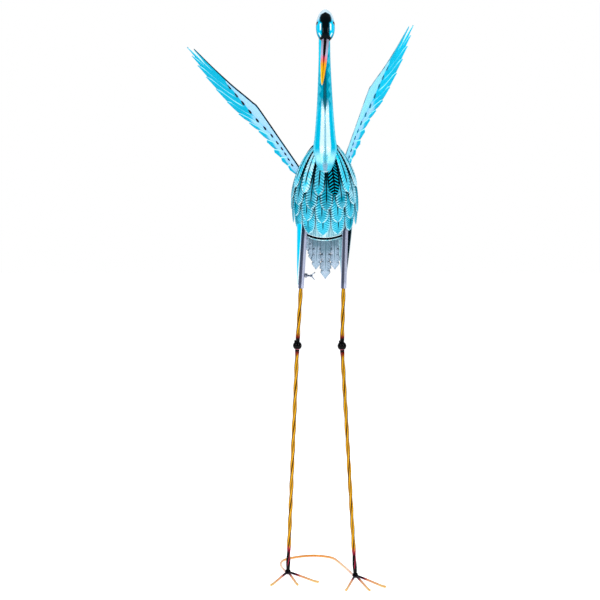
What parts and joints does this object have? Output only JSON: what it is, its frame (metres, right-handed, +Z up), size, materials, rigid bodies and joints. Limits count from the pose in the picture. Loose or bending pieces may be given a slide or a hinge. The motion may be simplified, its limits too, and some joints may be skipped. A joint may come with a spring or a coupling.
{
  "type": "crane garden statue",
  "caption": "Standing sheet-metal crane garden statue with raised wings, a bowed head, stamped feathers and twisted bar legs on wire feet.",
  "frame": {"origin": "on the ground, under the middle of the statue's bounding box", "axes": "+Z up, the bird faces -Y, and +X is the right-hand side as seen from in front"},
  "size_m": [0.5392, 0.395, 1.3203],
  "materials": {
    "cyan": "glossy pearlescent cyan lacquer on stamped sheet steel",
    "pale_cyan": "glossy pale cyan and silver pearl lacquer",
    "silver": "glossy silver lavender lacquer",
    "black": "gloss black",
    "gold": "glossy amber gold lacquer with dark edges",
    "copper": "glossy copper lacquer",
    "steel": "bright zinc"
  },
  "bodies": {
    "root": {"body_shell": "cyan", "neck_feathers_left": "cyan", "neck_feathers_right": "cyan", "breast_feathers": "cyan", "belly_feathers": "cyan", "skirt_feathers": "pale_cyan", "upper_back_feathers": "cyan", "lower_back_feathers": "cyan", "neck": "pale_cyan", "head": "black", "eye_left": "black", "eye_right": "black", "beak": "gold", "wing_left": "pale_cyan", "wing_right": "pale_cyan", "tail_feather_1": "silver", "tail_feather_2": "silver", "tail_feather_3": "silver", "tail_feather_4": "silver", "tail_feather_5": "silver", "tail_feather_6": "silver", "tail_feather_7": "silver", "thigh_plate_left": "cyan", "thigh_plate_right": "cyan", "leg_sleeve_left": "silver", "leg_sleeve_right": "silver", "screw_boss": "silver", "wing_screw": "steel", "upper_leg_left": "gold", "upper_leg_right": "gold", "knee_ball_left": "black", "knee_ball_right": "black", "lower_leg_left": "gold", "lower_leg_right": "gold", "toe_left_outer": "copper", "toe_left_middle": "copper", "toe_left_inner": "copper", "toe_right_inner": "copper", "toe_right_middle": "copper", "toe_right_outer": "copper", "rear_support": "copper"}
  },
  "joints": []
}
